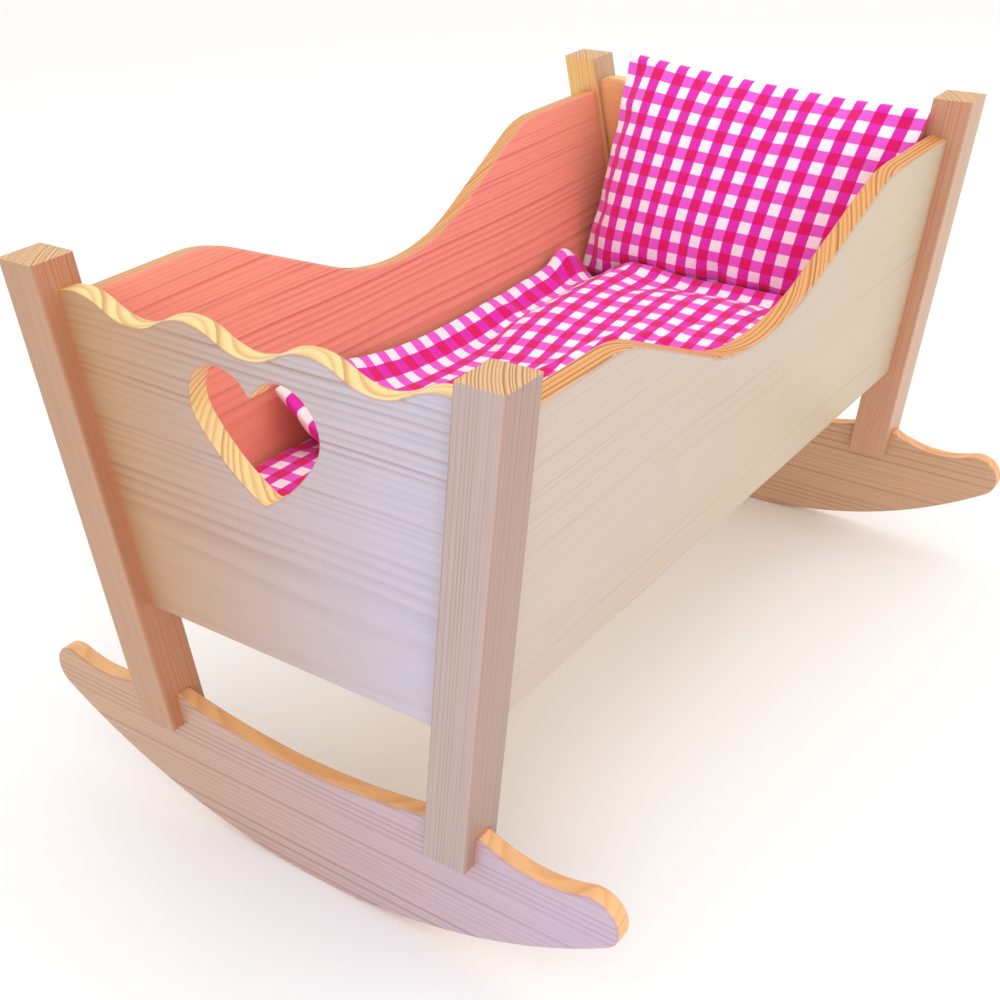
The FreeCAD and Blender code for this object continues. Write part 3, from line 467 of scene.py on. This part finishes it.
def gingham(name):
    """Yarn-dyed cotton: its stripes follow the cloth coordinates that each sewn form carries."""
    shade = Shade(name)
    cloth = shade.add("ShaderNodeAttribute", attribute_name="cloth").outputs["Vector"]
    s, t = shade.dot(cloth, ACROSS), shade.dot(cloth, ALONG)
    uneven = shade.math("MULTIPLY", shade.math("SUBTRACT", shade.noise(cloth, 700, 1), 0.5), 0.5 * MM)

    def stripe(distance):
        """0 in the middle of each repeat and 1 in the coloured stripe between."""
        phase = shade.math("FRACT", shade.math("DIVIDE", shade.math("ADD", distance, uneven), REPEAT))
        return shade.step(shade.math("ABSOLUTE", shade.math("SUBTRACT", phase, 0.5)), *SOFT_EDGE)

    def ridges(distance):
        """The threads, from -1 to 1; two sets multiplied make a plain weave."""
        return shade.math("SINE", shade.math("MULTIPLY", distance, math.pi / THREAD))

    warp, weft = stripe(s), stripe(shade.math("ADD", t, WHITE_HEM))
    over = shade.step(shade.math("MULTIPLY", ridges(s), ridges(t)), -0.6, 0.6)
    plain = shade.mix(weft, COTTON_WHITE, WEFT_PINK)
    striped = shade.mix(weft, WARP_PINK, COTTON_DEEP)
    colour = shade.mix(warp, plain, striped)
    tone = shade.step(over, 0.0, 1.0, 0.93, 1.02)
    colour = shade.mix(1.0, colour, shade.join(tone, tone, tone), "MULTIPLY")
    along_threads = shade.join(shade.math("MULTIPLY", s, 2300), shade.math("MULTIPLY", t, 160), 0.0)
    slub = shade.step(shade.noise(along_threads), 0.3, 0.7, 0.96, 1.03)
    colour = shade.mix(1.0, colour, shade.join(slub, slub, slub), "MULTIPLY")
    shade.base(colour, shade.step(over, 0, 1, 0.75, 0.88),
               {"Sheen Weight": 0.18, "Sheen Roughness": 0.5, "Specular IOR Level": 0.25})
    shade.bump(over, 0.12 * MM, 0.55)
    return shade.material


# ---------------------------------------------------------------- bedding
def smooth(low, high, value):
    """0 below low, 1 above high and a smooth turn between; low may be the larger."""
    share = min(1.0, max(0.0, (value - low) / (high - low)))
    return share * share * (3 - 2 * share)


def sewn_form(name, size, cell, middle, facing, thickness):
    """Two layers of cloth sewn together round their edge, before they are inflated.

    size is the cut's width and length, and cell the mesh's spacing. middle(s, t) is a point level
    with the seam, for a place on the cloth in metres from its middle, and thickness(p, q) is how far
    the layers on the facing side and behind are from it, with p and q from 0 to 1. Returns the
    object, whose seam is in its vertex group "seam" and whose points carry their place on the cloth
    in the attribute "cloth".
    """
    columns, rows = round(size[0] / cell), round(size[1] / cell)
    facing = Vector(facing).normalized()
    points, cloth, layers = [], [], []
    for layer in (1, -1):
        grid = {}
        for row in range(rows + 1):
            for column in range(columns + 1):
                on_seam = row in (0, rows) or column in (0, columns)
                if layer == -1 and on_seam:
                    grid[column, row] = layers[0][column, row]
                    continue
                p, q = column / columns, row / rows
                s, t = (p - 0.5) * size[0], (q - 0.5) * size[1]
                gap = 0 if on_seam else thickness(p, q)[0 if layer == 1 else 1]
                grid[column, row] = len(points)
                points.append(middle(s, t) + facing * (layer * gap))
                cloth.append((s, t, layer))
        layers.append(grid)
    faces = []
    for layer, grid in zip((1, -1), layers):
        for row in range(rows):
            for column in range(columns):
                ring = [grid[column, row], grid[column + 1, row], grid[column + 1, row + 1],
                        grid[column, row + 1]]
                faces.append(ring if layer == 1 else ring[::-1])
    mesh = bpy.data.meshes.new(name)
    mesh.from_pydata([tuple(point) for point in points], [], faces)
    mesh.attributes.new("cloth", "FLOAT_VECTOR", "POINT").data.foreach_set(
        "vector", np.array(cloth, np.float32).ravel())
    mesh.polygons.foreach_set("use_smooth", [True] * len(faces))
    piece = bpy.data.objects.new(name, mesh)
    bpy.context.scene.collection.objects.link(piece)
    seam = sorted({layers[0][key] for key in layers[0]
                   if key[0] in (0, columns) or key[1] in (0, rows)})
    piece.vertex_groups.new(name="seam").add(seam, 1.0, "REPLACE")
    return piece


def coordinates(mesh):
    """A mesh's points, as an array."""
    points = np.empty(len(mesh.vertices) * 3, np.float32)
    mesh.vertices.foreach_get("co", points)
    return points.reshape(-1, 3).astype(float)


def place_points(mesh, points):
    """Moves a mesh's points to new places."""
    mesh.vertices.foreach_set("co", np.asarray(points, np.float32).ravel())
    mesh.update()


CLOTH_STEPS = 24
CLOTH_STIFFNESS = 12
CLOTH_MASS = 0.15  # of each point, in the solver's kilograms
CLOTH_DAMPING = 2.0
NO_MOVE = 1e-9  # keeps a point that stays still from being divided by zero


def inflate(piece, pressure, spare, cap, bending=0.4):
    """Fills a sewn form by cloth simulation, its seam held.

    spare is how much more cloth there is than space, which puckers it, and cap the furthest that a
    point may move.
    """
    before = coordinates(piece.data)
    cloth = piece.modifiers.new("filling", "CLOTH")
    settings = cloth.settings
    settings.quality = 6
    settings.mass = CLOTH_MASS
    settings.tension_stiffness = settings.compression_stiffness = CLOTH_STIFFNESS
    settings.shear_stiffness = CLOTH_STIFFNESS / 2
    settings.bending_stiffness = bending
    settings.air_damping = CLOTH_DAMPING
    settings.shrink_min = -spare
    settings.use_pressure = True
    settings.uniform_pressure_force = pressure
    settings.vertex_group_mass = "seam"
    settings.pin_stiffness = 1.0
    settings.effector_weights.gravity = 0
    cloth.collision_settings.use_collision = False
    cloth.collision_settings.use_self_collision = False
    cloth.point_cache.frame_start, cloth.point_cache.frame_end = 1, CLOTH_STEPS
    for moment in range(1, CLOTH_STEPS + 1):
        bpy.context.scene.frame_set(moment)
    after = coordinates(piece.evaluated_get(bpy.context.evaluated_depsgraph_get()).data)
    piece.modifiers.remove(cloth)
    bpy.context.scene.frame_set(1)
    move = after - before
    reach = np.linalg.norm(move, axis=1, keepdims=True)
    capped = np.tanh(reach / cap) * cap
    place_points(piece.data, before + move * capped / np.maximum(reach, NO_MOVE))


PUSH_ROUNDS = 3
PUSH_REACH = 60 * MM  # how far away a neighbour's surface is looked for


def keep_clear(piece, others, gap):
    """Pushes a soft piece's points out of its neighbours, as it is pressed flat where it rests."""
    trees = []
    for other in others:
        mesh = other.data
        trees.append(BVHTree.FromPolygons([v.co.copy() for v in mesh.vertices],
                                          [tuple(p.vertices) for p in mesh.polygons]))
    points = [Vector(point) for point in coordinates(piece.data)]
    for _ in range(PUSH_ROUNDS):
        for index, point in enumerate(points):
            for tree in trees:
                hit, normal, _, distance = tree.find_nearest(point, PUSH_REACH)
                if hit is None:
                    continue
                height = (point - hit).dot(normal)
                if height < gap and (height < 0 or distance < gap):
                    points[index] = point = hit + normal * gap
    place_points(piece.data, [tuple(point) for point in points])


def part_layers(piece, facing, least):
    """Moves a sewn form's two layers apart wherever they are nearer than least, or have crossed."""
    cloth = np.empty(len(piece.data.vertices) * 3, np.float32)
    piece.data.attributes["cloth"].data.foreach_get("vector", cloth)
    points = coordinates(piece.data)
    facing = np.array(facing)
    outer = {}
    for index, (s, t, layer) in enumerate(cloth.reshape(-1, 3).tolist()):
        if layer > 0:
            outer[s, t] = index
            continue
        short = least - (points[outer[s, t]] - points[index]) @ facing
        if short > 0:
            points[outer[s, t]] += facing * short / 2
            points[index] -= facing * short / 2
    place_points(piece.data, points)


def finish_soft(piece, body, material):
    """Subdivides a piece, gives it its cloth and hands it to its body."""
    smoother = piece.modifiers.new("smoother", "SUBSURF")
    smoother.levels = smoother.render_levels = 1
    result = bpy.data.meshes.new_from_object(
        piece.evaluated_get(bpy.context.evaluated_depsgraph_get()))
    piece.modifiers.clear()
    piece.data = result
    result.materials.clear()
    result.materials.append(material)
    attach(piece, body)
    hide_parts(body)


def plump(p, q, round_off=0.3):
    """How full a cushion is at p, q: 1 in the middle and 0 at its seam; low round_off is boxy."""
    return max(0.0, 16 * p * (1 - p) * q * (1 - q)) ** round_off


def corner_pull(p, q, pull):
    """How far a filled cushion's sides draw in between its corners, as offsets along s and t."""
    inward_s = -(2 * p - 1) * (4 * q * (1 - q)) * pull
    inward_t = -(2 * q - 1) * (4 * p * (1 - p)) * pull
    return inward_s, inward_t


def make_mattress(material):
    """The mattress: its seam runs round its top, with nearly all of its filling below."""
    low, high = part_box("mattress")
    centre = (low + high) / 2
    width, length, thick = high.x - low.x + 10 * MM, high.y - low.y, high.z - low.z
    seam = high.z - 1 * MM

    def middle(s, t):
        pull = corner_pull(s / width + 0.5, t / length + 0.5, 1.5 * MM)
        return Vector((centre.x + s + pull[0], centre.y + t + pull[1], seam))

    def layers(p, q):
        return 2.5 * MM * plump(p, q, 0.25), (thick - 4 * MM) * plump(p, q, 0.07)

    piece = sewn_form("mattress_cover", (width, length), 6 * MM, middle, UP, layers)
    inflate(piece, pressure=0.8, spare=0.02, cap=3 * MM)
    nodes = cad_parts
    keep_clear(piece, [nodes["bottom_board"], nodes["side_board_right"], nodes["side_board_left"]],
               gap=0.5 * MM)
    finish_soft(piece, "mattress", material)
    return piece


PILLOW_CORNERS = {  # x, y and z of the seam's corners, in millimetres
    "low_left": (-130, 213, 217), "low_right": (122, 212, 213),
    "top_left": (-108, 263, 397), "top_right": (154, 265, 378),
}


def make_pillow(material, mattress):
    """The pillow: it leans on the head board, and its lower half bellies out towards the foot."""
    corners = {key: Vector(value) * MM for key, value in PILLOW_CORNERS.items()}
    across = corners["top_right"] - corners["top_left"]
    upward = corners["top_left"] - corners["low_left"]
    width, height = across.length, upward.length
    facing = across.cross(upward).normalized()

    def middle(s, t):
        p, q = s / width + 0.5, t / height + 0.5
        low = corners["low_left"].lerp(corners["low_right"], p)
        top = corners["top_left"].lerp(corners["top_right"], p)
        pull = corner_pull(p, q, 3 * MM)
        belly = 16 * MM * (4 * p * (1 - p)) ** 0.7 * smooth(1.0, 0.25, q) * smooth(-0.2, 0.2, q)
        lumps = 1.6 * MM * noise.noise(Vector((p * 9, q * 3, 1.7)))
        return (low.lerp(top, q) + across.normalized() * pull[0] + upward.normalized() * pull[1]
                + facing * (belly + lumps))

    def layers(p, q):
        return 14 * MM * plump(p, q), 15 * MM * plump(p, q)

    piece = sewn_form("pillow_cover", (width, height), 4.5 * MM, middle, facing, layers)
    inflate(piece, pressure=1.5, spare=0.02, cap=8 * MM)
    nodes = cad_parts
    keep_clear(piece, [nodes["head_board"], nodes["side_board_right"], nodes["side_board_left"],
                       nodes["post_head_right"], nodes["post_head_left"], mattress], gap=0.8 * MM)
    finish_soft(piece, "pillow", material)
    return piece


DUVET_CUT = 264 * MM  # the cloth's width
DUVET_SPAN = 253 * MM  # from edge to edge as it lies, which is less because it is curved
DUVET_FOLDS = (-24, -9, 6)  # where three folds start, in millimetres to the right of the middle


def duvet_level(x, y):
    """The height of the duvet's seam level over the lowest point of its CAD node.

    Everything here is in millimetres from the frame's origin, and each line is one feature.
    """
    level = 9 + 6 * smooth(-40, -150, y)  # a little higher at the foot
    level += 15 * smooth(-10, 175, y) * smooth(-104, -62, x)  # sloping up to the pillow
    level += 5 * smooth(176, 194, y) * smooth(-104, -82, x)  # lifted by the pillow's lower edge
    on_boards = max(level, 27)
    level += (on_boards - level) * smooth(97, 127, abs(x))  # the sides ride up the boards
    level += 18 * smooth(-66, -122, x) * smooth(0, -140, y)  # the foot's left corner curls up
    level += 11 * math.exp(-((x + 119) / 12) ** 2 - ((y - 176) / 16) ** 2)  # a hill by the pillow
    for start in DUVET_FOLDS:  # low folds running askew
        aside = x - start - 0.36 * y
        level += 3 * math.exp(-(aside / 5.5) ** 2) * smooth(70, 30, abs(y - 40))
    return level + 2.5 * noise.noise(Vector((x * 0.016, y * 0.011, 3.1)))


def make_duvet(material, mattress, pillow):
    """The duvet: its sides ride up the boards and its foot's left corner is curled up."""
    low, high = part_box("duvet")
    foot, head = low.y - 9 * MM, high.y + 11 * MM
    length = head - foot + 12 * MM

    def middle(s, t):
        x, y = DUVET_SPAN * s / DUVET_CUT, foot + (head - foot) * (t / length + 0.5)
        return Vector((x, y, low.z + duvet_level(x / MM, y / MM) * MM))

    def layers(p, q):
        curl = smooth(0.14, 0.04, q) * smooth(0.4, 0.1, p)
        full = 6.5 * MM * plump(p, q)
        return full, full + 12 * MM * plump(p, q, 0.08) * curl

    piece = sewn_form("duvet_cover", (DUVET_CUT, length), 4.5 * MM, middle, UP, layers)
    inflate(piece, pressure=0.6, spare=0.03, cap=5 * MM, bending=0.2)
    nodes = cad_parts
    keep_clear(piece, [nodes["side_board_right"], nodes["side_board_left"], mattress, pillow],
               gap=0.8 * MM)
    part_layers(piece, UP, least=5 * MM)
    finish_soft(piece, "duvet", material)


make_camera()
make_studio()
finish_wood()
cotton = gingham("gingham_cotton")
mattress_cover = make_mattress(cotton)
pillow_cover = make_pillow(cotton, mattress_cover)
make_duvet(cotton, mattress_cover, pillow_cover)
